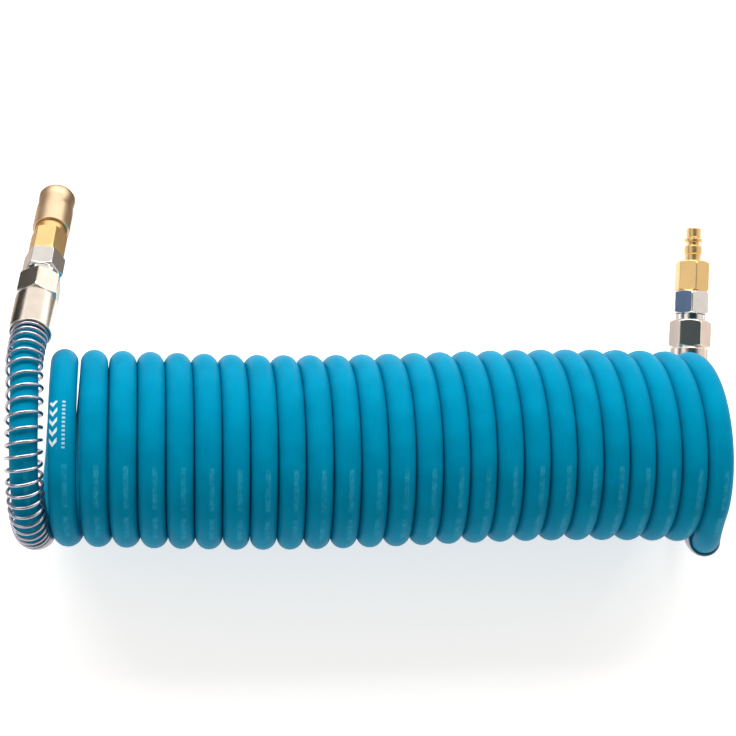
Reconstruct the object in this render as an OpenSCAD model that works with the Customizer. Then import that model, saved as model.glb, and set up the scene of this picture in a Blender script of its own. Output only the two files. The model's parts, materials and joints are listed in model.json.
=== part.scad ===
// Coiled air hose with a swivelling quick coupler on one end and a swivelling plug on the other.
// The coil lies on the floor along X. Millimetres, +Z up, origin on the floor under the middle of the whole.

/* [Hose] */
// Outside diameter of the hose
hose_od = 16; // [15.6:0.1:16]
// Bore of the hose
hose_bore = 11; // [10.8:0.1:11]

/* [Coil] */
// Number of turns that show along the top
turns = 25; // [20:1:25]
// Radius of the coil to the middle of the hose
coil_r = 52; // [52:1:54]
// Average distance from turn to turn
coil_pitch = 16.28; // [16.1:0.02:16.8]
// How much wider the turns stand apart at the coupler end
coil_spread = 0.01; // [0:0.002:0.02]
// How far the first turn leans along the coil
coil_lean = 3; // [2:0.1:3]
// How far the coil's middle line sways from side to side
coil_sway = 2; // [0:0.1:2]

/* [Bend springs] */
// Thickness of the spring wire
wire_d = 2; // [1.6:0.1:2]
// Radius of a bend spring to the middle of its wire
bend_spring_r = 10.3; // [10:0.1:10.4]
// The same radius at the free end, which grips the hose
bend_spring_end_r = 9.3; // [9.2:0.1:9.8]

/* [Hose ends] */
// Width across flats of the union nut
nut_af = 24; // [23:0.5:24]
// Outside diameter of the union nut's skirt
skirt_od = 25.6; // [25:0.1:25.6]
// Width across flats of the swivel body
swivel_af = 22; // [21.5:0.5:22]
// Diameter of the male threads
thread_d = 16.6; // [16:0.1:16.6]

/* [Coupler] */
// Width across flats of the coupler's hexagon
coupler_af = 20; // [19.6:0.1:21]
// Outside diameter of the sleeve
sleeve_od = 23; // [23:0.1:24]
// Bore that takes the plug
mouth_bore = 12.7; // [12.7:0.05:12.75]
// How far the sleeve is pulled back to let the plug go
sleeve_travel = 4.5; // [4.3:0.1:4.5]
// How far the plug pushes the valve open
valve_travel = 4; // [3:0.5:4]
// Diameter of a locking ball
ball_d = 3.5; // [3.4:0.05:3.5]

/* [Plug] */
// Width across flats of the plug's hexagon
plug_af = 20; // [19.6:0.1:21]
// Diameter of the plug's collar
plug_collar_d = 12.5; // [12:0.1:12.5]
// Diameter of the plug's tip
plug_tip_d = 9.8; // [9.6:0.1:9.8]

/* [Hidden] */
$fn = 64;

hose_r = hose_od / 2;
wire_r = wire_d / 2;

// The coil's axis runs along X through this point
coil_at = [4.33, -51.18, coil_r + hose_r];
first_turn_x = -197.7;
spaces = turns - 1;
// The first space is wider, by most of this
first_gap = 2.6;
// The lean gets less by this much at every turn, and the sway repeats after this many turns
lean_change = 0.115;
sway_turns = 22;

// Where each rigid end fitting starts, seen from the coil's middle at floor level, and how it points
left_start = [-218.4, 68.3, 82.6];
left_tilt = 37;
left_lean = 6.8;
right_start = [206.9, 40, 13.55];
right_tilt = 0;
right_lean = 3.6;

// How far each hexagon is turned about the fitting's own axis
left_nut_turn = 26;
left_swivel_turn = -5;
left_hex_turn = -10;
right_nut_turn = -17;
right_swivel_turn = 16;
right_hex_turn = 28;

// Each bend spring's coils, counted from its end in the nut, and how far back from the skirt they are
left_spring = [
    [0, -12], [5, 0.5], [7, 9], [10, 26.4], [15, 66.8], [19, 95], [24, 126], [28, 149], [32, 165], [34, 170]];
right_spring = [[0, -12], [5, 0.5], [8, 18], [16, 90], [20, 112], [23, 120]];

// Routes of the hose's two ends, from the coil to the straight stretch in the union nut
left_route = [
    [-205.3, 0, 8.3], [-207, -19, 12.2], [-209.6, -35, 23.4], [-212.7, -45.5, 40.1], [-215.3, -49.5, 60],
    [-217, -45.9, 79.9], [-218.3, -35.2, 96.5], [-219.2, -19.5, 107.5], [-219.5, -2, 111.3],
    [-219.5, 15, 109.8], [-219.7, 32, 104]];
right_route = [
    [199.6, -51.8, 74.5], [202.2, -56.8, 62.5], [204.4, -59.2, 50], [205.9, -58, 38], [206.8, -52.5, 27],
    [207.3, -43, 18.8], [207.5, -31, 14.6], [207.5, -16, 13.4], [207.4, 2, 13.4], [207, 22, 13.5]];

// Places along a fitting's own axis, counted from the open end of the union nut's skirt
skirt_len = 28;
nut_end = skirt_len + 18;
collar_end = nut_end + 4;
swivel_face = collar_end + 0.3;
swivel_end = 65.5;
stub_end = swivel_end + 11.5;
seal_t = 1.5;
hose_end_z = skirt_len + 4.8;
socket_end = skirt_len - 5.5;
coupler_hex_end = 85.5;
neck_end = coupler_hex_end + 10;
sleeve_start = coupler_hex_end + sleeve_travel + 0.5;
sleeve_end = 122.5;
sleeve_spring_end = neck_end + 12.5;
ball_z = sleeve_end - 9.5;
coupler_face = sleeve_end - 1;
plug_hex_end = 86;
plug_end = plug_hex_end + 22.5;

// Diameters and gaps of the fittings' insides
gap = 0.05;
air_r = 3.6;
stub_bore_r = 4;
journal_r = 6;
ring_z = nut_end + 13;
swivel_seal_z = nut_end + 7.1;
journal_end = nut_end + 17;
collar_r = 10.6;
first_barb = skirt_len - 23;
barb_len = 6;
neck_r = 9.7;
barrel_r = 8.4;
mouth_r = mouth_bore / 2;
mouth_land_r = mouth_r + 0.45;
ball_r = ball_d / 2;
ball_in = mouth_r + 0.7;
guide_land_r = barrel_r + gap;
lock_land_r = 8.86;
relief_r = 10.1;
stop_ring_z = ball_z - 3;
tip_bore_r = 5.3;
chamber_r = 6.6;
nose_r = 7.4;
nose_end = ball_z - 19.5;
valve_back_z = ball_z - 16.5;
valve_spring_seat = valve_back_z - valve_travel - 7;

function unit(v) = v / norm(v);
// Middle of the hose after n turns, counted from the top of the first turn
function coil_x(n) =
    first_turn_x + coil_pitch * n + coil_spread * n * (spaces - n) + first_gap * (1 - exp(-max(n, 0)));
function lean(n) = coil_lean - lean_change * n;
function sway(n) = -coil_sway * cos(360 * (n - 8) / sway_turns);
function helix(n) = [
    coil_x(n) - lean(n) * sin(360 * n),
    sway(n) - coil_r * sin(360 * n),
    coil_r + hose_r + coil_r * cos(360 * n)];
// Direction of a fitting, and a point on its axis
function direction(tilt, lean) = [sin(lean) * cos(tilt), cos(lean) * cos(tilt), -sin(tilt)];
function on_axis(start, tilt, lean, z) = start + z * direction(tilt, lean);

// A smooth curve through route points, with a few points between each pair
function curve_point(a, b, c, d, t) =
    0.5 * (2 * b + (c - a) * t + (2 * a - 5 * b + 4 * c - d) * t * t + (3 * b - a - 3 * c + d) * t * t * t);
function smooth(p, steps) = concat(
    [for (i = [0 : len(p) - 2], k = [0 : steps - 1])
        curve_point(p[max(i - 1, 0)], p[i], p[i + 1], p[min(i + 2, len(p) - 1)], k / steps)],
    [p[len(p) - 1]]);

left_hose = concat(
    [for (k = [0 : 23]) helix(0.5 - k / 24)],
    left_route,
    [for (z = [-22, 0, 16, hose_end_z]) on_axis(left_start, left_tilt, left_lean, z)]);
right_hose = concat(
    [for (k = [0 : 16]) helix(spaces - 0.5 + k / 24)],
    right_route,
    [for (z = [0, 16, hose_end_z]) on_axis(right_start, right_tilt, right_lean, z)]);

// Distances along a curve, and lookup tables of its points by distance
function distances(p, i = 0, d = 0) =
    i == len(p) - 1 ? [d] : concat([d], distances(p, i + 1, d + norm(p[i + 1] - p[i])));
function table(p, s, axis) = [for (i = [0 : len(p) - 1]) [s[i], p[i][axis]]];
function at(tables, s) = [lookup(s, tables[0]), lookup(s, tables[1]), lookup(s, tables[2])];
function frame_at(tables, s) =
    let (t = unit(at(tables, s + 1) - at(tables, s - 1)), e = unit([1, 0, 0] - t[0] * t))
    [t, e, cross(t, e)];

// A round bar along a list of points
module swept(p, r, sides) {
    last = len(p) - 1;
    rings = [for (i = [0 : last])
        let (
            t = unit(p[min(i + 1, last)] - p[max(i - 1, 0)]),
            e = unit([1, 0, 0] - t[0] * t),
            f = cross(t, e))
        for (k = [0 : sides - 1]) p[i] + r * (cos(360 * k / sides) * e + sin(360 * k / sides) * f)];
    polyhedron(rings, bar_faces(last, sides));
}
function bar_faces(last, sides) = concat(
    [[for (k = [0 : sides - 1]) k]],
    [for (i = [0 : last - 1], k = [0 : sides - 1])
        let (a = i * sides + k, b = i * sides + (k + 1) % sides)
        each [[a, a + sides, b + sides], [a, b + sides, b]]],
    [[for (k = [sides - 1 : -1 : 0]) last * sides + k]]);

// Wire wound along a curve. back lists coil numbers and how far before the curve's place s_from they are,
// and radii lists coil numbers and radii.
module wound_wire(tables, s_from, back, radii, wire, per_turn, sides) {
    steps = back[len(back) - 1][0] * per_turn;
    function along(c) = s_from - lookup(c, back);
    middles = [for (i = [0 : steps])
        let (c = i / per_turn, a = -360 * c - 90, f = frame_at(tables, along(c)))
        at(tables, along(c)) + lookup(c, radii) * (cos(a) * f[1] + sin(a) * f[2])];
    rings = [for (i = [0 : steps])
        let (
            t = unit(middles[min(i + 1, steps)] - middles[max(i - 1, 0)]),
            out = middles[i] - at(tables, along(i / per_turn)),
            e = unit(out - (out * t) * t),
            f = cross(t, e))
        for (k = [0 : sides - 1]) middles[i] + wire * (cos(360 * k / sides) * e + sin(360 * k / sides) * f)];
    polyhedron(rings, bar_faces(steps, sides));
}

module in_place() translate([coil_at[0], coil_at[1], 0]) children();
module on_fitting(start, tilt, lean) in_place() translate(start) rotate([-90 - tilt, 0, -lean]) children();
module left_fitting(turn = 0)
    on_fitting(left_start, left_tilt, left_lean) rotate([0, 0, turn]) children();
module right_fitting(turn = 0)
    on_fitting(right_start, right_tilt, right_lean) rotate([0, 0, turn]) children();

// A round solid from its outline, given as pairs of radius and height
module turned(outline) rotate_extrude() polygon(outline);
// A hexagonal bar with its corners chamfered at both ends
module hex_bar(af, z0, z1, flat_share = 0.97) {
    corner = af / 2 / cos(30);
    face = af / 2 * flat_share;
    slope = (corner - face) * tan(30);
    intersection() {
        translate([0, 0, z0]) cylinder(r = corner, h = z1 - z0, $fn = 6);
        turned([[0, z0], [face, z0], [corner, z0 + slope], [corner, z1 - slope], [face, z1], [0, z1]]);
    }
}
module hole(r, z0, z1) translate([0, 0, z0]) cylinder(r = r, h = z1 - z0);
module ring(r, wire, z) translate([0, 0, z]) rotate_extrude() translate([r, 0]) circle(r = wire, $fn = 24);
// A washer that seals the end of a male thread
module washer(z0) difference() {
    hole(thread_d / 2 - 0.1, z0, z0 + seal_t);
    hole(4.6, z0 - 1, z0 + seal_t + 1);
}

// Hose ----------------------------------------------------------------------------------------------

// Outer shape of the turns between the two end turns, as rings that a thin drum joins
module hose_coil() color("deepskyblue") in_place()
    translate([0, 0, coil_at[2]]) rotate([0, 90, 0]) rotate_extrude() {
        for (n = [1 : spaces - 1]) translate([coil_r, coil_x(n)]) circle(r = hose_r, $fn = 32);
        translate([coil_r - hose_r / 2, coil_x(1)]) square([hose_r, coil_x(spaces - 1) - coil_x(1)]);
    }
module hose_left_end() color("deepskyblue") difference() {
    in_place() swept(left_hose, hose_r, 12);
    left_fitting() hole(hose_bore / 2, first_barb - 2, hose_end_z + 1);
}
module hose_right_end() color("deepskyblue") difference() {
    in_place() swept(right_hose, hose_r, 12);
    right_fitting() hole(hose_bore / 2, first_barb - 2, hose_end_z + 1);
}

// Hose end, the same on both sides -------------------------------------------------------------------

module bend_spring(route, coils, radii) color("gainsboro") in_place() {
    p = smooth(route, 6);
    s = distances(p);
    tables = [table(p, s, 0), table(p, s, 1), table(p, s, 2)];
    wound_wire(tables, s[len(s) - 1] - hose_end_z, coils, radii, wire_r, 12, 6);
}
module union_nut(mouth = 0) difference() {
    union() {
        turned([
            [0, mouth], [skirt_od / 2 - 0.6, mouth], [skirt_od / 2, mouth + 0.6],
            [skirt_od / 2, skirt_len - 1.2],
            [nut_af / 2, skirt_len], [nut_af / 2, skirt_len + 1], [0, skirt_len + 1]]);
        hex_bar(nut_af, skirt_len, nut_end);
    }
    hole(11.5, -1, socket_end);
    hole(8.6, socket_end - 0.5, skirt_len - 0.5);
    turned([[0, skirt_len - 1], [8.76, skirt_len - 1], [9.6, hose_end_z], [0, hose_end_z]]);
    hole(9.6, hose_end_z - 0.1, nut_end + 1);
}
module clamp_ring() difference() {
    turned([
        [hose_r + 0.02, skirt_len - 1], [8.7, skirt_len - 1], [9.5, hose_end_z - 0.1],
        [hose_r + 0.02, hose_end_z - 0.1]]);
    translate([0, -0.75, skirt_len - 2]) cube([12, 1.5, 8]);
}
module hose_tail() {
    barb_r = hose_bore / 2 - gap;
    stem_r = 4.9;
    barbs = 4;
    flange = hose_end_z + 0.2;
    difference() {
        turned(concat(
            [[0, first_barb - 1], [stem_r - 0.3, first_barb - 1]],
            [for (i = [0 : barbs - 1], k = [0, 1])
                [k == 0 ? stem_r : barb_r, first_barb + i * barb_len + (k == 0 ? 0 : barb_len - 0.6)]],
            [[stem_r, first_barb + barbs * barb_len], [stem_r, flange], [9.55, flange], [9.55, nut_end],
             [collar_r - 0.4, nut_end], [collar_r, nut_end + 0.4], [collar_r, collar_end - 0.4],
             [collar_r - 0.4, collar_end], [journal_r, collar_end], [journal_r, journal_end - 0.5],
             [journal_r - 0.5, journal_end], [0, journal_end]]));
        hole(air_r, 0, journal_end + 1);
        difference() {
            hole(journal_r + 1, swivel_seal_z - 1.1, swivel_seal_z + 1.1);
            hole(4.5, swivel_seal_z - 2, swivel_seal_z + 2);
        }
        difference() {
            hole(journal_r + 1, ring_z - 0.7, ring_z + 0.7);
            hole(5.35, ring_z - 2, ring_z + 2);
        }
    }
}
module swivel_seal() ring(5.24, 0.74, swivel_seal_z);
module retaining_ring() ring(journal_r, 0.6, ring_z);
module swivel_body() difference() {
    union() {
        hex_bar(swivel_af, swivel_face, swivel_end);
        turned([
            [0, swivel_end - 1], [thread_d / 2, swivel_end - 1], [thread_d / 2, stub_end - 1],
            [thread_d / 2 - 1, stub_end], [0, stub_end]]);
    }
    hole(journal_r + gap, 0, journal_end + 0.3);
    hole(stub_bore_r, 0, stub_end + 1);
    hole(6.7, ring_z - 0.7, ring_z + 0.7);
}

// Coupler ----------------------------------------------------------------------------------------------

module coupler_back_shape() difference() {
    union() {
        hex_bar(coupler_af, swivel_end, coupler_hex_end);
        hole(nose_r, coupler_hex_end - 1, nose_end);
    }
    hole(thread_d / 2 + gap, swivel_end - 1, stub_end + seal_t);
    hole(6.1, valve_spring_seat, nose_end + 1);
    hole(1.7, stub_end, valve_spring_seat + 1);
    for (a = [0 : 120 : 240])
        rotate([0, 0, a]) translate([4.1, 0, 0]) hole(1.5, stub_end, valve_spring_seat + 1);
}
module coupler_body_shape() difference() {
    turned([
        [0, coupler_hex_end], [neck_r, coupler_hex_end], [neck_r, neck_end], [barrel_r, neck_end],
        [barrel_r, coupler_face - 0.5], [barrel_r - 0.5, coupler_face], [0, coupler_face]]);
    hole(nose_r + gap, coupler_hex_end - 1, nose_end + 1);
    hole(chamber_r, nose_end, nose_end + 6);
    turned([
        [0, nose_end + 5.9], [chamber_r, nose_end + 5.9], [chamber_r, nose_end + 6], [4.4, nose_end + 8.2],
        [4.4, nose_end + 9], [0, nose_end + 9]]);
    hole(tip_bore_r, nose_end + 8.5, nose_end + 15);
    hole(6.55, nose_end + 10, nose_end + 12.1);
    hole(mouth_r, nose_end + 14, coupler_face);
    hole(mouth_land_r, ball_z + 2.5, coupler_face + 1);
    turned([
        [0, coupler_face - 0.4], [mouth_land_r, coupler_face - 0.4], [mouth_land_r + 0.6, coupler_face + 0.2],
        [0, coupler_face + 0.2]]);
    difference() {
        hole(barrel_r + 1, stop_ring_z - 0.5, stop_ring_z + 0.5);
        hole(7.85, stop_ring_z - 1, stop_ring_z + 1);
    }
    for (a = [45 : 90 : 315]) rotate([0, 0, a]) translate([0, 0, ball_z]) {
        rotate([0, 90, 0]) cylinder(r = ball_r - 0.25, h = barrel_r + 2);
        translate([ball_in, 0, 0]) rotate([0, 90, 0]) cylinder(r = ball_r + 0.08, h = 4);
        translate([ball_in, 0, 0]) sphere(r = ball_r + 0.08);
    }
}
module sleeve_shape() {
    r = sleeve_od / 2;
    waist_r = r - 0.8;
    difference() {
        turned([
            [0, sleeve_start], [r - 0.5, sleeve_start], [r, sleeve_start + 0.5],
            [r, ball_z - 7], [waist_r, ball_z - 4.5], [waist_r, ball_z + 1.5], [r, ball_z + 4],
            [r, sleeve_end - 1.5], [r - 0.9, sleeve_end], [0, sleeve_end]]);
        hole(neck_r + 0.08, sleeve_start - 1, sleeve_spring_end);
        hole(guide_land_r, sleeve_spring_end - 0.5, stop_ring_z + 0.5);
        turned([
            [0, stop_ring_z - 0.5], [lock_land_r, stop_ring_z - 0.5], [lock_land_r, ball_z - 0.1],
            [relief_r, ball_z + sleeve_travel - 0.4], [relief_r, sleeve_end + 1], [0, sleeve_end + 1]]);
    }
}
module ball(i) color("silver")
    left_fitting(45 + 90 * (i - 1)) translate([ball_in, 0, ball_z]) sphere(r = ball_r);
module valve_poppet_shape() union() {
    hole(1.6, valve_spring_seat - 4, valve_back_z + 1);
    hole(5.9, valve_back_z, valve_back_z + 2.6);
    hole(4.5, valve_back_z + 2, valve_back_z + 3.6);
    hole(3, valve_back_z + 3, valve_back_z + 9.5);
}
// A compression spring along a fitting's axis
module straight_spring(z0, z1, r, wire, coils) {
    p = [for (i = [0 : 20]) [0, 0, z0 + wire + (z1 - z0 - 2 * wire) * i / 20]];
    s = distances(p);
    total = s[len(s) - 1];
    tables = [table(p, s, 0), table(p, s, 1), table(p, s, 2)];
    close = 2.1 * wire * 0.75;
    wound_wire(tables, total, [[0, 0], [0.75, close], [coils - 0.75, total - close], [coils, total]],
        [[0, r], [coils, r]], wire, 16, 6);
}

// Plug -------------------------------------------------------------------------------------------------

module plug_shape() difference() {
    h = plug_hex_end;
    collar = plug_collar_d / 2;
    tip = plug_tip_d / 2;
    union() {
        hex_bar(plug_af, swivel_end, h, 0.94);
        turned([
            [0, h - 1], [5.3, h - 1], [5.3, h + 4.6], [5.95, h + 5.2], [5.95, h + 10.1], [5.5, h + 10.6],
            [4.1, h + 10.6], [4.1, h + 13.2], [collar, h + 13.2], [collar, h + 15.2], [4.5, h + 15.2],
            [4.5, h + 16.2], [tip, h + 16.6], [tip, plug_end - 0.5], [tip - 0.5, plug_end],
            [0, plug_end]]);
    }
    hole(thread_d / 2 + gap, swivel_end - 1, stub_end + seal_t);
    hole(3.4, stub_end, plug_end + 1);
}

// Sub-parts in place -------------------------------------------------------------------------------------

module bend_spring_left() bend_spring(left_hose, left_spring,
    [[0, bend_spring_r], [31, bend_spring_r], [34, bend_spring_end_r]]);
module union_nut_left() color("lightgray") left_fitting(left_nut_turn) union_nut();
module clamp_ring_left() color("goldenrod") left_fitting() clamp_ring();
module hose_tail_left() color("silver") left_fitting() hose_tail();
module swivel_seal_left() color("dimgray") left_fitting() swivel_seal();
module retaining_ring_left() color("silver") left_fitting() retaining_ring();
module swivel_body_left() color("silver") left_fitting(left_swivel_turn) swivel_body();
module thread_seal_left() color("dimgray") left_fitting() washer(stub_end);
module bend_spring_right() bend_spring(right_hose, right_spring,
    [[0, bend_spring_r], [2, bend_spring_r], [5, bend_spring_end_r]]);
module union_nut_right() color("lightgray") right_fitting(right_nut_turn) union_nut(7);
module clamp_ring_right() color("goldenrod") right_fitting() clamp_ring();
module hose_tail_right() color("silver") right_fitting() hose_tail();
module swivel_seal_right() color("dimgray") right_fitting() swivel_seal();
module retaining_ring_right() color("silver") right_fitting() retaining_ring();
module swivel_body_right() color("silver") right_fitting(right_swivel_turn) swivel_body();
module thread_seal_right() color("dimgray") right_fitting() washer(stub_end);
module coupler_back() color("gold") left_fitting(left_hex_turn) coupler_back_shape();
module coupler_body() color("gold") left_fitting() coupler_body_shape();
module plug_seal() color("dimgray") left_fitting() ring(5.65, 0.85, nose_end + 11.05);
module sleeve_stop_ring() color("silver") left_fitting() ring(8.35, 0.45, stop_ring_z);
module coupler_sleeve() color("gold") left_fitting() sleeve_shape();
module sleeve_spring() color("silver") left_fitting()
    straight_spring(neck_end, sleeve_spring_end, 9.1, 0.5, 5);
module ball_1() ball(1);
module ball_2() ball(2);
module ball_3() ball(3);
module ball_4() ball(4);
module valve_poppet() color("gold") left_fitting() valve_poppet_shape();
module valve_seal() color("dimgray") left_fitting() ring(5.12, 0.55, valve_back_z + 3.4);
module valve_spring() color("silver") left_fitting()
    straight_spring(valve_spring_seat, valve_back_z, 4.6, 0.4, 6);
module plug() color("gold") right_fitting(right_hex_turn) plug_shape();

hose_coil();
hose_left_end();
hose_right_end();
bend_spring_left();
union_nut_left();
clamp_ring_left();
hose_tail_left();
swivel_seal_left();
retaining_ring_left();
swivel_body_left();
thread_seal_left();
bend_spring_right();
union_nut_right();
clamp_ring_right();
hose_tail_right();
swivel_seal_right();
retaining_ring_right();
swivel_body_right();
thread_seal_right();
coupler_back();
coupler_body();
plug_seal();
sleeve_stop_ring();
coupler_sleeve();
sleeve_spring();
ball_1();
ball_2();
ball_3();
ball_4();
valve_poppet();
valve_seal();
valve_spring();
plug();
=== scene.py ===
"""Looks of a coiled air hose with a swivelling quick coupler and a swivelling plug.

Row frame: +X runs along the coil, +Y is up in the picture and +Z points at the camera.
The hose lies on the floor at z = 0. Everything is in metres.
"""
import json
from math import cos, exp, pi, radians, sin, tau

import bmesh
import bpy
import numpy as np
from mathutils import Matrix, Vector


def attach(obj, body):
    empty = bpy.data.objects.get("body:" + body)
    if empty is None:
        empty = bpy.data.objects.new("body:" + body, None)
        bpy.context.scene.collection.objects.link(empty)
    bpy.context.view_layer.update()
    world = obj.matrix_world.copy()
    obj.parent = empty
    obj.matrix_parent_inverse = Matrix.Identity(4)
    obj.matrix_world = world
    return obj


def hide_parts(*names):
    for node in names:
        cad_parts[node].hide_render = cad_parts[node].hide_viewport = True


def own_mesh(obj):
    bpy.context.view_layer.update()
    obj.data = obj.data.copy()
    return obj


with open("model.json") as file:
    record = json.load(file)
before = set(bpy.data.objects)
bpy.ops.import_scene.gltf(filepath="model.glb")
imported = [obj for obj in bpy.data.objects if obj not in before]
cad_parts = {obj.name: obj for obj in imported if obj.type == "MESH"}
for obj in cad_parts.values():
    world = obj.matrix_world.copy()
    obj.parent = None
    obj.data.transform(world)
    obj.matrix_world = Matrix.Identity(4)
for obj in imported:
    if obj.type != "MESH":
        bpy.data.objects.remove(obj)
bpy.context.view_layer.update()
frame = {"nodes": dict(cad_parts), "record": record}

MM = 0.001


# Camera ---------------------------------------------------------------------------------------------

def make_camera():
    """A long lens above the coil, looking almost straight down at it."""
    data = bpy.data.cameras.new("camera")
    data.sensor_width = 36
    data.lens = 85.6
    data.clip_start, data.clip_end = 0.05, 30
    camera = bpy.data.objects.new("camera", data)
    turn = (Matrix.Rotation(radians(-6.7), 4, "Y") @ Matrix.Rotation(radians(5.0), 4, "X")
            @ Matrix.Rotation(radians(-0.5), 4, "Z"))
    camera.matrix_world = Matrix.Translation((-0.1348, -0.0961, 1.1398)) @ turn
    bpy.context.scene.collection.objects.link(camera)
    bpy.context.scene.camera = camera


make_camera()


# The hose's route ------------------------------------------------------------------------------------

HOSE_R = 0.008
# The turns press on each other, so the tube is a little wider along X than it is high
PRESSED_WIDTH = 1.03
COIL_AT = np.array((0.00433, -0.05118, 0.0))
COIL_R = 0.052
COIL_PITCH = 0.01628
COIL_SPREAD = 0.00001
FIRST_GAP = 0.0026
COIL_LEAN = 0.003
LEAN_CHANGE = 0.000115
COIL_SWAY = 0.002
SWAY_TURNS = 22
SWAY_MIDDLE = 8
FIRST_TURN_X = -0.1977
# Spaces between the turns
SPACES = 24
POINTS_PER_TURN = 24

# Where each fitting's axis starts, from the coil's middle, and how its axis lies
LEFT_START = np.array((-0.2184, 0.0683, 0.0826))
LEFT_TILT = radians(37)
LEFT_LEAN = radians(6.8)
RIGHT_START = np.array((0.2069, 0.040, 0.01355))
RIGHT_TILT = 0.0
RIGHT_LEAN = radians(3.6)

# How far the hose reaches into a fitting, in millimetres from where the fitting's skirt starts
HOSE_END_Z = 32.8

LEFT_ROUTE = [
    (-0.2053, 0, 0.0083), (-0.207, -0.019, 0.0122), (-0.2096, -0.035, 0.0234), (-0.2127, -0.0455, 0.0401),
    (-0.2153, -0.0495, 0.060), (-0.217, -0.0459, 0.0799), (-0.2183, -0.0352, 0.0965),
    (-0.2192, -0.0195, 0.1075), (-0.2195, -0.002, 0.1113), (-0.2195, 0.015, 0.1098), (-0.2197, 0.032, 0.104)]
RIGHT_ROUTE = [
    (0.1996, -0.0518, 0.0745), (0.2022, -0.0568, 0.0625), (0.2044, -0.0592, 0.050), (0.2059, -0.058, 0.038),
    (0.2068, -0.0525, 0.027), (0.2073, -0.043, 0.0188), (0.2075, -0.031, 0.0146), (0.2075, -0.016, 0.0134),
    (0.2074, 0.002, 0.0134), (0.207, 0.022, 0.0135)]


def helix(n):
    """Middle of the hose after n turns, counted from the top of the first turn."""
    lean = COIL_LEAN - LEAN_CHANGE * n
    sway = -COIL_SWAY * cos(tau * (n - SWAY_MIDDLE) / SWAY_TURNS)
    gap = FIRST_GAP * (1 - exp(-max(n, 0)))
    x = FIRST_TURN_X + COIL_PITCH * n + COIL_SPREAD * n * (SPACES - n) + gap - lean * sin(tau * n)
    return np.array((x, sway - COIL_R * sin(tau * n), COIL_R + HOSE_R + COIL_R * cos(tau * n)))


def direction(tilt, lean):
    """The way a fitting points: towards +Y, tilted down and leaning towards +X."""
    return np.array((sin(lean) * cos(tilt), cos(lean) * cos(tilt), -sin(tilt)))


def smooth_curve(points, steps):
    """A curve through the points, with the same number of steps between each pair."""
    p = [np.array(q, float) for q in points]
    out = []
    for i in range(len(p) - 1):
        a, b, c, d = p[max(i - 1, 0)], p[i], p[i + 1], p[min(i + 2, len(p) - 1)]
        for k in range(steps):
            t = k / steps
            out.append(0.5 * (2 * b + (c - a) * t + (2 * a - 5 * b + 4 * c - d) * t * t
                              + (3 * b - a - 3 * c + d) * t ** 3))
    return np.array(out + [p[-1]])


def left_points():
    """From the first turn to the hose's end in the left union nut, as the CAD tube has them."""
    coil = [helix(0.5 - k / POINTS_PER_TURN) for k in range(POINTS_PER_TURN)]
    end = [LEFT_START + z * MM * direction(LEFT_TILT, LEFT_LEAN) for z in (-22, 0, 16, HOSE_END_Z)]
    return coil + [np.array(p) for p in LEFT_ROUTE] + end


def right_points():
    """From the last turn to the hose's end in the right union nut."""
    coil = [helix(SPACES - 0.5 + k / POINTS_PER_TURN) for k in range(17)]
    end = [RIGHT_START + z * MM * direction(RIGHT_TILT, RIGHT_LEAN) for z in (0, 16, HOSE_END_Z)]
    return coil + [np.array(p) for p in RIGHT_ROUTE] + end


CURVE_STEPS = 6
RINGS_PER_TURN = 72
left_curve = smooth_curve(left_points(), CURVE_STEPS) + COIL_AT
right_curve = smooth_curve(right_points(), CURVE_STEPS) + COIL_AT
coil_curve = np.array([
    helix(0.5 + k / RINGS_PER_TURN) for k in range(1, (SPACES - 1) * RINGS_PER_TURN)]) + COIL_AT
hose_curve = np.concatenate((left_curve[::-1], coil_curve, right_curve))


def lengths(points):
    """Distance along a curve at each of its points."""
    return np.concatenate(((0,), np.cumsum(np.linalg.norm(np.diff(points, axis=0), axis=1))))


def resampled(points, step):
    """The curve with its points an even distance apart."""
    s = lengths(points)
    even = np.linspace(0, s[-1], round(s[-1] / step) + 1)
    return np.stack([np.interp(even, s, points[:, i]) for i in range(3)], axis=1)


# Mesh makers ------------------------------------------------------------------------------------------

def unit(v):
    """Vectors of length 1 with the directions of v."""
    return v / np.linalg.norm(v, axis=-1, keepdims=True)


def across(tangent):
    """At each point of a curve, the direction across it that is nearest +X, and the one across both."""
    side = unit(np.array((1.0, 0, 0)) - tangent[:, :1] * tangent)
    return side, np.cross(tangent, side)


def circles(first, second, sides):
    """Rings of points round each pair of directions."""
    angle = tau * np.arange(sides) / sides
    return np.cos(angle)[None, :, None] * first[:, None] + np.sin(angle)[None, :, None] * second[:, None]


def grid_mesh(name, rings, close_ends, uv):
    """A smooth mesh from rings of points, an array of rings x sides x 3. uv has one more column."""
    count, sides = rings.shape[:2]
    i, k = np.meshgrid(np.arange(count - 1), np.arange(sides), indexing="ij")
    nxt = (k + 1) % sides
    quads = np.stack((i * sides + k, i * sides + nxt, (i + 1) * sides + nxt, (i + 1) * sides + k), -1)
    faces = quads.reshape(-1, 4).tolist()
    if close_ends:
        faces += [list(range(sides))[::-1], [(count - 1) * sides + j for j in range(sides)]]
    mesh = bpy.data.meshes.new(name)
    mesh.from_pydata(rings.reshape(-1, 3).tolist(), [], faces)
    layer = mesh.uv_layers.new(name="UVMap")
    corners = np.stack((uv[i, k], uv[i, k + 1], uv[i + 1, k + 1], uv[i + 1, k]), 2).reshape(-1, 2)
    full = np.zeros((len(mesh.loops), 2))
    full[:len(corners)] = corners
    layer.data.foreach_set("uv", full.ravel())
    mesh.polygons.foreach_set("use_smooth", [True] * len(mesh.polygons))
    mesh.validate()
    obj = bpy.data.objects.new(name, mesh)
    bpy.context.scene.collection.objects.link(obj)
    return obj


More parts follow.
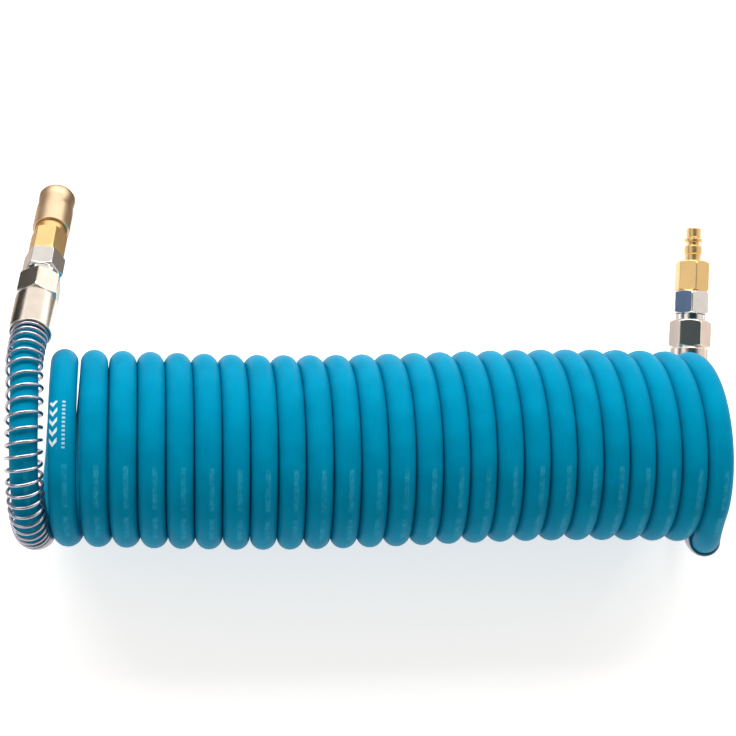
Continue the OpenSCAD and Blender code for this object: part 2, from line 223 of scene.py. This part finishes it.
def bar(name, points, radius, sides, u, width):
    """A bar along a curve, width times as wide along X as it is high. u is the UV's first coordinate at each
    point, and v runs once round the bar from +X towards the outside."""
    offset = radius * circles(*across(unit(np.gradient(points, axis=0))), sides)
    rings = points[:, None] + offset * np.array((width, 1, 1))
    uv = np.stack(np.meshgrid(u, np.arange(sides + 1) / sides, indexing="ij"), -1)
    return grid_mesh(name, rings, True, uv)


# Materials -------------------------------------------------------------------------------------------

class Shader:
    """One material's nodes, made a step at a time."""

    def __init__(self, name, **settings):
        self.material = bpy.data.materials.new(name)
        self.material.use_nodes = True
        self.tree = self.material.node_tree
        self.surface = self.tree.nodes["Principled BSDF"]
        for key, value in settings.items():
            self.surface.inputs[key.replace("_", " ")].default_value = value

    def node(self, kind, values=None, **settings):
        node = self.tree.nodes.new("ShaderNode" + kind)
        for key, value in settings.items():
            setattr(node, key, value)
        for key, value in (values or {}).items():
            self.put(node.inputs[key], value)
        return node

    def put(self, socket, value):
        if isinstance(value, bpy.types.NodeSocket):
            self.tree.links.new(value, socket)
        else:
            socket.default_value = value

    def set(self, name, value):
        self.put(self.surface.inputs[name], value)

    def math(self, operation, *values):
        node = self.node("Math", dict(enumerate(values)), operation=operation)
        return node.outputs[0]

    def coordinates(self, kind, scale=(1, 1, 1)):
        source = self.node("TexCoord").outputs[kind]
        return self.node("Mapping", {"Vector": source, "Scale": scale}).outputs[0]

    def noise(self, vector, scale, detail=3.0, roughness=0.5):
        values = {"Vector": vector, "Scale": scale, "Detail": detail, "Roughness": roughness}
        return self.node("TexNoise", values).outputs["Fac"]

    def ranged(self, value, low, high, from_low=0.0, from_high=1.0):
        values = {0: value, 1: from_low, 2: from_high, 3: low, 4: high}
        return self.node("MapRange", values).outputs[0]

    def mixed(self, factor, first, second):
        node = self.node("Mix", data_type="RGBA")
        for index, value in ((0, factor), (6, first), (7, second)):
            self.put(node.inputs[index], value)
        return node.outputs[2]

    def bump(self, height, strength, distance, normal=None):
        values = {"Height": height, "Strength": strength, "Distance": distance}
        if normal is not None:
            values["Normal"] = normal
        return self.node("Bump", values).outputs[0]


def between(s, value, low, high, soft):
    """1 where value lies between low and high, with soft edges."""
    rise = s.ranged(value, 0.0, 1.0, low - soft, low + soft)
    fall = s.ranged(value, 1.0, 0.0, high - soft, high + soft)
    return s.math("MULTIPLY", rise, fall)


def hose_material():
    """Satin blue polyurethane, with a white mark on the first turn and faint printing on every turn."""
    s = Shader("hose_blue", Specular_IOR_Level=0.03)
    s.set("Specular Tint", (0.0, 0.9, 1.0, 1))
    place = s.coordinates("Object")
    split = s.node("SeparateXYZ", {"Vector": s.coordinates("UV")})
    turn, around = split.outputs[0], split.outputs[1]
    streaks = s.noise(s.coordinates("UV", (6, 40, 1)), 3.0, 4.0)
    cloud = s.noise(place, 60.0, 4.0)
    shade = s.mixed(s.ranged(cloud, 0.0, 1.0, 0.35, 0.65), (0.0, 0.205, 0.360, 1), (0.0, 0.235, 0.405, 1))
    shade = s.mixed(s.ranged(streaks, 0.0, 0.5, 0.45, 0.75), shade, (0.0, 0.255, 0.425, 1))
    # Faint printing once a turn: worn short strokes that say nothing
    part = s.math("FRACT", turn)
    row = between(s, around, 0.185, 0.243, 0.008)
    strokes = s.noise(s.coordinates("UV", (1500, 60, 1)), 1.0, 1.0)
    strokes = s.ranged(strokes, 0.0, 1.0, 0.42, 0.58)
    first = between(s, part, 0.035, 0.108, 0.002)
    second = between(s, part, 0.126, 0.182, 0.002)
    faint = s.math("MULTIPLY", s.math("MULTIPLY", s.math("ADD", first, second), row), strokes)
    wear = s.ranged(s.noise(place, 260.0, 2.0), 0.15, 0.75, 0.35, 0.65)
    shade = s.mixed(s.math("MULTIPLY", faint, wear), shade, (0.05, 0.40, 0.58, 1))
    # White mark on the first turn: arrows pointing along the hose, and a row of dashes beside them
    arrow = s.math("ADD", s.math("MULTIPLY", turn, 62.0),
                   s.math("MULTIPLY", s.math("ABSOLUTE", s.math("SUBTRACT", around, 0.352)), 9.0))
    arrow = between(s, s.math("FRACT", arrow), 0.12, 0.52, 0.04)
    arrow = s.math("MULTIPLY", arrow, between(s, around, 0.296, 0.408, 0.004))
    dash = between(s, s.math("FRACT", s.math("MULTIPLY", turn, 150.0)), 0.15, 0.65, 0.06)
    dash = s.math("MULTIPLY", dash, between(s, around, 0.205, 0.240, 0.004))
    white = s.math("MULTIPLY", s.math("MAXIMUM", arrow, s.math("MULTIPLY", dash, 0.6)),
                   between(s, turn, -0.066, 0.010, 0.001))
    shade = s.mixed(s.math("MULTIPLY", white, 0.9), shade, (0.70, 0.82, 0.88, 1))
    s.set("Base Color", shade)
    s.set("Roughness", s.ranged(cloud, 0.36, 0.46))
    fine = s.noise(place, 1400.0, 3.0)
    s.set("Normal", s.bump(fine, 0.12, 0.0001, s.bump(streaks, 0.15, 0.0002)))
    return s.material


def plated_material(name, tint, roughness, lines=0.0):
    """Plated or machined metal. lines is how strongly its turning marks show."""
    s = Shader(name, Metallic=1.0)
    place = s.coordinates("Object")
    cloud = s.noise(place, 120.0, 4.0)
    darker = tuple(0.94 * c for c in tint) + (1,)
    s.set("Base Color", s.mixed(s.ranged(cloud, 0.0, 1.0, 0.35, 0.65), darker, tuple(tint) + (1,)))
    turned = s.noise(s.coordinates("UV", (0.6, 900, 1)), 3.0, 3.0)
    s.set("Roughness", s.ranged(turned, roughness * 0.8, roughness * 1.3, 0.3, 0.7))
    scuffs = s.noise(place, 700.0, 2.0)
    s.set("Normal", s.bump(turned, lines, 0.00002, s.bump(scuffs, 0.03, 0.00005)))
    return s.material


def rubber_material():
    """Matt black rubber for the seals."""
    s = Shader("seal_rubber_black", Roughness=0.7)
    cloud = s.noise(s.coordinates("Object"), 900.0, 3.0)
    s.set("Base Color", s.mixed(cloud, (0.012, 0.012, 0.013, 1), (0.03, 0.03, 0.032, 1)))
    s.set("Normal", s.bump(cloud, 0.2, 0.00005))
    return s.material


HOSE = hose_material()
NUT = plated_material("nut_plating", (0.83, 0.75, 0.67), 0.20, 0.25)
PLATED = plated_material("swivel_plating", (0.86, 0.85, 0.84), 0.10, 0.06)
BRASS = plated_material("machined_brass", (0.89, 0.61, 0.28), 0.30, 0.10)
SLEEVE_BRASS = plated_material("satin_brass", (0.87, 0.66, 0.43), 0.30, 0.25)
WIRE = plated_material("spring_wire", (0.53, 0.52, 0.58), 0.24, 0.0)
STEEL = plated_material("hardened_steel", (0.75, 0.75, 0.77), 0.12, 0.0)
RUBBER = rubber_material()

SLOT_MATERIALS = {
    "hose": HOSE, "plated_nut": NUT, "plated_body": PLATED, "brass": BRASS,
    "brass_sleeve": SLEEVE_BRASS, "spring_steel": WIRE, "hardened_steel": STEEL, "seal_rubber": RUBBER}


def finished(obj, slot, body, *stands_for):
    """Gives a piece the material of its slot, puts it in its body, and hides the CAD nodes that it stands
    for.
    """
    obj.data.materials.clear()
    obj.data.materials.append(SLOT_MATERIALS[slot])
    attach(obj, body)
    if stands_for:
        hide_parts(*stands_for)
    return obj


def dress_cad_nodes():
    """Puts each material on the CAD nodes that keep showing."""
    for part in frame["record"]["subparts"]:
        node = frame["nodes"][part["node"]]
        node.data.materials.clear()
        node.data.materials.append(SLOT_MATERIALS[part["material_slot"]])


dress_cad_nodes()


# Hose ---------------------------------------------------------------------------------------------------

HOSE_STEP = 0.0042
HOSE_SIDES = 28


def make_hose():
    """One tube from the end in the left union nut, through the coil, to the end in the right one."""
    curve = resampled(hose_curve, HOSE_STEP)
    turn_length = float(np.hypot(tau * COIL_R, COIL_PITCH))
    s = lengths(curve)
    start = s[np.argmin(np.linalg.norm(curve - helix(0) - COIL_AT, axis=1))]
    hose = bar("hose_tube", curve, HOSE_R, HOSE_SIDES, (s - start) / turn_length, PRESSED_WIDTH)
    finished(hose, "hose", "hose", "hose_coil", "hose_left_end", "hose_right_end")
    return hose, curve


hose_tube, hose_path = make_hose()


# Springs ----------------------------------------------------------------------------------------------

def wound_wire(name, curve, s_from, back, radii, wire, per_turn, sides):
    """A wire wound along a curve. back has coil numbers, and how far before s_from each of them is. radii has
    coil numbers and radii. Those and wire are in millimetres."""
    s = lengths(curve)
    c = np.arange(back[-1][0] * per_turn + 1) / per_turn
    along = s_from - np.interp(c, *np.transpose(back)) * MM
    radius = np.interp(c, *np.transpose(radii)) * MM

    def at(values):
        return np.stack([np.interp(values, s, curve[:, i]) for i in range(3)], axis=1)

    side, out = across(unit(at(along + MM) - at(along - MM)))
    turn = -tau * (c + 0.25)
    offset = radius[:, None] * (np.cos(turn)[:, None] * side + np.sin(turn)[:, None] * out)
    points = at(along) + offset
    wire_tangent = unit(np.gradient(points, axis=0))
    outward = unit(offset - np.sum(offset * wire_tangent, 1, keepdims=True) * wire_tangent)
    rings = points[:, None] + wire * MM * circles(outward, np.cross(wire_tangent, outward), sides)
    uv = np.stack(np.meshgrid(lengths(points), np.arange(sides + 1) / sides, indexing="ij"), -1)
    return grid_mesh(name, rings, True, uv)


def make_bend_spring(side, curve, back, radii):
    """The wire round the hose behind a union nut."""
    s_skirt = lengths(curve)[-1] - HOSE_END_Z * MM
    name = f"bend_spring_{side}"
    wire = wound_wire(name + "_wire", curve, s_skirt, back, radii, WIRE_R, 40, 12)
    finished(wire, "spring_steel", "hose", name)


WIRE_R = 1.0
# Coils counted from the end in the nut, with how far back from the skirt's mouth they are, then with radii
LEFT_COILS = [(0, -12), (5, 0.5), (7, 9), (10, 26.4), (15, 66.8), (19, 95), (24, 126), (28, 149), (32, 165),
              (34, 170)]
RIGHT_COILS = [(0, -12), (5, 0.5), (8, 18), (16, 90), (20, 112), (23, 120)]
make_bend_spring("left", left_curve, LEFT_COILS, [(0, 10.3), (31, 10.3), (34, 9.3)])
make_bend_spring("right", right_curve, RIGHT_COILS, [(0, 10.3), (2, 10.3), (5, 9.3)])


# End fittings -------------------------------------------------------------------------------------------

def fitting_place(start, tilt, lean):
    """Matrix that takes a fitting's own axes to the row frame: its axis is +Z, and -Y faces the camera."""
    return (Matrix.Translation(Vector(start + COIL_AT)) @ Matrix.Rotation(-lean, 4, "Z")
            @ Matrix.Rotation(-pi / 2 - tilt, 4, "X"))


LEFT_PLACE = fitting_place(LEFT_START, LEFT_TILT, LEFT_LEAN)
RIGHT_PLACE = fitting_place(RIGHT_START, RIGHT_TILT, RIGHT_LEAN)

# Angles from one corner of a hexagon to the next, closer together at the corners
HALF_SEXTANT = (0.0, 0.7, 1.5, 2.6, 4.5, 8.0, 13.0, 18.0, 24.0)
SEXTANT = HALF_SEXTANT + (30.0,) + tuple(60 - a for a in HALF_SEXTANT[:0:-1])
HEX_ANGLES = np.radians([60 * k + a for k in range(6) for a in SEXTANT])


def hexagon(af, angles):
    """Distance from the middle to a hexagon's slightly rounded outline. One corner is at the angle 0."""
    sharp = 70.0
    total = sum(np.maximum(np.cos(angles - radians(30 + 60 * k)), 0) ** sharp for k in range(6))
    return af / 2 / total ** (1 / sharp)


def soft_min(a, b, blend):
    """The lesser of a and b, rounded off where they are less than blend apart."""
    h = np.maximum(blend - np.abs(a - b), 0) / blend
    return np.minimum(a, b) - h * h * blend / 4


def rounded_outline(outline, fillet, step):
    """A closed outline of (radius, height) with its corners rounded and its long sides divided."""
    p = [np.array(q[:2], float) for q in outline]
    fillets = [q[2] if len(q) > 2 else fillet for q in outline]
    count = len(p)
    out = []
    for i in range(count):
        before, here, after = p[i - 1], p[i], p[(i + 1) % count]
        to_before, to_after = before - here, after - here
        room = 0.45 * min(np.linalg.norm(to_before), np.linalg.norm(to_after))
        d1, d2 = unit(to_before), unit(to_after)
        half = np.arccos(np.clip(np.dot(d1, d2), -1, 1)) / 2
        cut = min(fillets[i] / max(np.tan(half), 1e-3), room)
        if half > radians(88) or cut < 0.02:
            out.append(here)
            continue
        for t in (0.0, 0.33, 0.67, 1.0):
            out.append((1 - t) ** 2 * (here + d1 * cut) + 2 * t * (1 - t) * here + t * t * (here + d2 * cut))
    full = []
    for i in range(len(out)):
        a, b = out[i], out[(i + 1) % len(out)]
        pieces = max(1, int(np.ceil(np.linalg.norm(b - a) / step)))
        full += [a + (b - a) * k / pieces for k in range(pieces)]
    return np.array(full)


FILLET = 0.25


def merge_seam(obj):
    """Joins the first and last rings of a solid, and turns its faces outwards."""
    b = bmesh.new()
    b.from_mesh(obj.data)
    bmesh.ops.remove_doubles(b, verts=b.verts, dist=1e-7)
    bmesh.ops.recalc_face_normals(b, faces=b.faces)
    b.to_mesh(obj.data)
    b.free()


def lathe(name, outline, place, hex_part=None, turn=0.0, step=3.0):
    """A turned solid from a closed outline in millimetres. hex_part is (across flats, from, to): between
    those heights it is cut to a hexagon with chamfered corners."""
    path = rounded_outline(outline, FILLET, step)
    angles = HEX_ANGLES
    radius = np.repeat(path[:, :1], len(angles), axis=1)
    if hex_part:
        af, low, high = hex_part
        rows = (path[:, 1] > low - 0.01) & (path[:, 1] < high + 0.01) & (path[:, 0] > 0.4 * af)
        radius[rows] = soft_min(radius[rows], hexagon(af, angles)[None, :], 0.3)
    around = angles + radians(turn)
    rings = np.stack((radius * np.cos(around), radius * np.sin(around),
                      np.repeat(path[:, 1:], len(angles), axis=1)), -1) * MM
    rings = np.concatenate((rings, rings[:1]))
    matrix = np.array(place)
    rings = rings @ matrix[:3, :3].T + matrix[:3, 3]
    s = lengths(np.vstack((path, path[:1])))
    uv = np.stack(np.meshgrid(s * MM, np.linspace(0, 1, len(angles) + 1), indexing="ij"), -1)
    obj = grid_mesh(name, rings, False, uv)
    merge_seam(obj)
    weighted = obj.modifiers.new("flat_faces", "WEIGHTED_NORMAL")
    weighted.keep_sharp = False
    return obj


CHAMFER_SLOPE = 0.577


def hex_profile(af, low, high, flat_share=0.97):
    """The outline's points over a hexagon: its corners' circle with a chamfer at both ends."""
    corner = af / 2 / cos(pi / 6)
    face = af / 2 * flat_share
    slope = (corner - face) * CHAMFER_SLOPE
    rise = [(face + (corner - face) * k / 8, low + slope * k / 8, 0) for k in range(9)]
    fall = [(face + (corner - face) * k / 8, high - slope * k / 8, 0) for k in range(8, -1, -1)]
    return rise + fall


# Heights along a fitting's axis, in millimetres from where its skirt starts
HEX_START = 28
NUT_END = 46
SWIVEL_FACE = 50.3
JOURNAL_END = 63.3
SWIVEL_END = 65.5
STUB_END = 77
SEAL_END = 78.5
COUPLER_HEX_END = 85.5
SLEEVE_START = 90.5
NECK_SHOULDER = 93.5
SPRING_END = 108
RELIEF_START = 109.5
SLEEVE_END = 122.5
PLUG_HEX_END = 86
PLUG_END = 108.5

# Widths of the hexagons across their flats
NUT_AF, SWIVEL_AF, COUPLER_AF, PLUG_AF = 24, 22, 20, 20


def make_union_nut(side, place, turn, mouth=0.0):
    """The nut with its skirt, which starts at the height mouth."""
    outline = [(11.5, 22.5, 0), (11.5, mouth + 0.5), (12.2, mouth), (12.8, mouth + 0.6),
               (12.8, HEX_START - 1.2), (12.0, HEX_START, 0.4)]
    outline += hex_profile(NUT_AF, HEX_START + 0.2, NUT_END)
    outline += [(9.6, NUT_END, 0.1), (9.6, HOSE_END_Z, 0), (8.76, 27, 0), (8.6, 22.5, 0)]
    nut = lathe(f"nut_{side}", outline, place, (NUT_AF, HEX_START + 0.1, NUT_END), turn)
    finished(nut, "plated_nut", "hose", f"union_nut_{side}")


def make_swivel_body(side, place, turn, body):
    """The hexagon that turns on the hose tail, and its male stub."""
    bore, journal, stub = 4.0, 6.05, 8.3
    outline = [(journal, JOURNAL_END, 0), (journal, SWIVEL_FACE, 0.2)]
    outline += hex_profile(SWIVEL_AF, SWIVEL_FACE, SWIVEL_END)
    outline += [(stub, SWIVEL_END, 0), (stub, STUB_END - 1, 0.1), (stub - 1, STUB_END, 0.1),
                (bore, STUB_END, 0.2), (bore, JOURNAL_END, 0)]
    part = lathe(f"swivel_{side}", outline, place, (SWIVEL_AF, SWIVEL_FACE, SWIVEL_END), turn)
    finished(part, "plated_body", body, f"swivel_body_{side}")


def make_coupler_back(place, turn):
    """The coupler's hexagon, with the socket for the stub and the spigot for the neck."""
    socket, spigot, spigot_bore, air_hole = 8.35, 7.4, 6.1, 1.7
    end = COUPLER_HEX_END
    outline = hex_profile(COUPLER_AF, SWIVEL_END, end)
    outline += [(spigot, end, 0), (spigot, NECK_SHOULDER, 0.2), (spigot_bore, NECK_SHOULDER, 0.2),
                (spigot_bore, end, 0), (air_hole, end, 0), (air_hole, SEAL_END, 0), (socket, SEAL_END, 0),
                (socket, SWIVEL_END, 0.2)]
    part = lathe("coupler_hex", outline, place, (COUPLER_AF, SWIVEL_END, end), turn)
    finished(part, "brass", "coupler", "coupler_back")


def make_sleeve(place):
    """The release sleeve: a slight waist outside, and the spring's room and the balls' relief inside."""
    r, waist, relief, land, guide, room = 11.5, 11.2, 10.1, 8.86, 8.45, 9.78
    inside = [(relief, SLEEVE_END - 0.2, 0.1), (relief, 117.1, 0.1), (land, 112.9, 0.1),
              (land, RELIEF_START, 0.1), (guide, RELIEF_START, 0.1), (guide, SPRING_END, 0.1),
              (room, SPRING_END, 0.1), (room, SLEEVE_START + 0.4, 0.1), (10.1, SLEEVE_START, 0.1)]
    outside = [(10.9, SLEEVE_START, 0.2), (r, SLEEVE_START + 0.5, 0.3), (r, SPRING_END, 3),
               (waist, 111.5, 3), (waist, 115.0, 3), (r, 118.5, 2), (r, 120.6, 0.5),
               (10.4, SLEEVE_END, 0.2)]
    part = lathe("release_sleeve", outside + inside, place, step=1.0)
    finished(part, "brass_sleeve", "sleeve", "coupler_sleeve")


def make_plug(place, turn):
    """The plug: its hexagon, root, body, neck, collar and tip, and its bore."""
    h = PLUG_HEX_END
    root, body, neck, collar, tip, bore, socket = 5.3, 5.95, 4.1, 6.25, 4.9, 3.4, 8.35
    outline = hex_profile(PLUG_AF, SWIVEL_END, h, 0.94)
    outline += [(root, h, 0.3), (root, h + 4.6, 0.3), (body, h + 5.2, 0.3), (body, h + 10.1, 0.3),
                (body - 0.5, h + 10.6, 0.2), (neck, h + 10.6, 0.4), (neck, h + 13.2, 0.4),
                (collar, h + 13.2, 0.25), (collar, h + 15.2, 0.25), (4.5, h + 15.2, 0.3),
                (4.5, h + 16.2, 0.2), (tip, h + 16.6, 0.2), (tip, PLUG_END - 0.5, 0.2),
                (tip - 0.5, PLUG_END, 0.2), (bore, PLUG_END, 0.2), (bore, SEAL_END, 0),
                (socket, SEAL_END, 0), (socket, SWIVEL_END, 0.2)]
    part = lathe("plug_nipple", outline, place, (PLUG_AF, SWIVEL_END, h), turn)
    finished(part, "brass", "plug", "plug")


def make_inner_spring(name, low, high, radius, wire, coils):
    """A compression spring in the coupler, which shortens towards its seat at low."""
    place = np.array(LEFT_PLACE)
    curve = np.linspace(low + wire, high - wire, 21)[:, None] * MM * place[:3, 2] + place[:3, 3]
    # The end coils are wound close, and the rest evenly
    total, close = high - low - 2 * wire, 1.575 * wire
    back = [(0, 0), (0.75, close), (coils - 0.75, total - close), (coils, total)]
    spring = wound_wire(name + "_wire", curve, lengths(curve)[-1], back, [(0, radius), (coils, radius)],
                        wire, 36, 10)
    finished(spring, "hardened_steel", "coupler", name)
    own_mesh(spring)


make_union_nut("left", LEFT_PLACE, 26)
make_union_nut("right", RIGHT_PLACE, -17, 7.0)
make_swivel_body("left", LEFT_PLACE, -5, "coupler")
make_swivel_body("right", RIGHT_PLACE, 16, "plug")
make_coupler_back(LEFT_PLACE, -10)
make_sleeve(LEFT_PLACE)
make_plug(RIGHT_PLACE, 28)
make_inner_spring("sleeve_spring", 95.5, SPRING_END, 9.1, 0.5, 5)
make_inner_spring("valve_spring", COUPLER_HEX_END, 96.5, 4.6, 0.4, 6)


# Lights and floor ---------------------------------------------------------------------------------------

def softbox(name, at, aim, size, power, colour=(1, 1, 1)):
    """A soft rectangular lamp that points at aim."""
    data = bpy.data.lights.new(name, "AREA")
    data.shape = "RECTANGLE"
    data.size, data.size_y = size
    data.energy = power
    data.color = colour
    light = bpy.data.objects.new(name, data)
    toward = Vector(aim) - Vector(at)
    light.matrix_world = Matrix.Translation(at) @ toward.to_track_quat("-Z", "Y").to_matrix().to_4x4()
    bpy.context.scene.collection.objects.link(light)
    return light


def flat_piece(name, corners, colour):
    """A flat matt piece of the studio with four corners."""
    mesh = bpy.data.meshes.new(name)
    mesh.from_pydata(corners, [], [(0, 1, 2, 3)])
    piece = bpy.data.objects.new(name, mesh)
    bpy.context.scene.collection.objects.link(piece)
    s = Shader(name, Roughness=0.9, Specular_IOR_Level=0.0)
    s.set("Base Color", colour)
    mesh.materials.append(s.material)
    return piece, s


def level(low, high, z):
    """The corners of a level rectangle."""
    return [(low[0], low[1], z), (high[0], low[1], z), (high[0], high[1], z), (low[0], high[1], z)]


def make_floor():
    """A white floor that glows a little, so that shadows on it stay pale."""
    _, s = flat_piece("floor", level((-4, -4), (4, 4), 0), (0.86, 0.86, 0.86, 1))
    s.set("Specular IOR Level", 0.1)
    s.set("Emission Color", (1, 0.99, 0.98, 1))
    s.set("Emission Strength", 0.5)


def make_world():
    """A studio that is pale at the horizon and dark overhead. It mostly shows in the metal's reflections."""
    world = bpy.data.worlds.new("studio")
    bpy.context.scene.world = world
    world.use_nodes = True
    tree = world.node_tree
    place = tree.nodes.new("ShaderNodeTexCoord")
    split = tree.nodes.new("ShaderNodeSeparateXYZ")
    sky = tree.nodes.new("ShaderNodeValToRGB")
    tree.links.new(place.outputs["Generated"], split.inputs[0])
    tree.links.new(split.outputs[2], sky.inputs[0])
    stops = sky.color_ramp.elements
    stops[0].position, stops[0].color = 0.10, (0.95, 0.90, 0.84, 1)
    stops[1].position, stops[1].color = 0.93, (0.012, 0.045, 0.06, 1)
    middle = stops.new(0.84)
    middle.color = (0.36, 0.33, 0.30, 1)
    tree.links.new(sky.outputs[0], tree.nodes["Background"].inputs["Color"])


def make_card(name, corners, colour):
    """A card beside the hose, which only shows in the metal's reflections."""
    card, _ = flat_piece(name, corners, colour)
    card.visible_camera = card.visible_diffuse = card.visible_shadow = False


def floor_card(name, low, high, colour):
    """A card that lies on the floor."""
    make_card(name, level(low, high, 0.001), colour)


make_floor()
make_world()
floor_card("dark_card", (-0.80, 0.02), (-0.285, 0.70), (0.02, 0.02, 0.018, 1))
floor_card("grey_card", (-0.185, 0.06), (-0.02, 0.22), (0.22, 0.19, 0.17, 1))
floor_card("warm_card", (-0.285, 0.02), (-0.185, 0.24), (0.58, 0.50, 0.44, 1))
floor_card("pink_card_left", (0.160, 0.0), (0.195, 0.20), (0.78, 0.68, 0.66, 1))
floor_card("pink_card_right", (0.265, 0.0), (0.42, 0.20), (0.78, 0.68, 0.66, 1))
floor_card("tip_card", (-0.27, 0.118), (-0.15, 0.17), (0.10, 0.07, 0.05, 1))
make_card("blue_card", [(-1.3, -0.6, 0.12), (-1.3, 1.4, 0.12), (-1.3, 1.4, 0.85), (-1.3, -0.6, 0.85)],
          (0.07, 0.11, 0.19, 1))
softbox("top_softbox", (0.0, 1.42, 1.08), (0, 0, 0), (3.2, 0.85), 50, (1.0, 0.99, 0.97))
softbox("left_softbox", (-1.1, 0.05, 1.05), (0.15, 0, 0.02), (0.6, 0.8), 1.2, (1.0, 0.95, 0.88))
softbox("right_softbox", (1.2, 0.25, 0.86), (0.15, 0, 0.02), (0.6, 0.8), 0.5, (1.0, 0.93, 0.85))
softbox("fill_light", (0.1, -1.0, 1.0), (0, 0, 0.05), (2.4, 1.0), 2).visible_glossy = False
bpy.context.scene.view_settings.view_transform = "Standard"
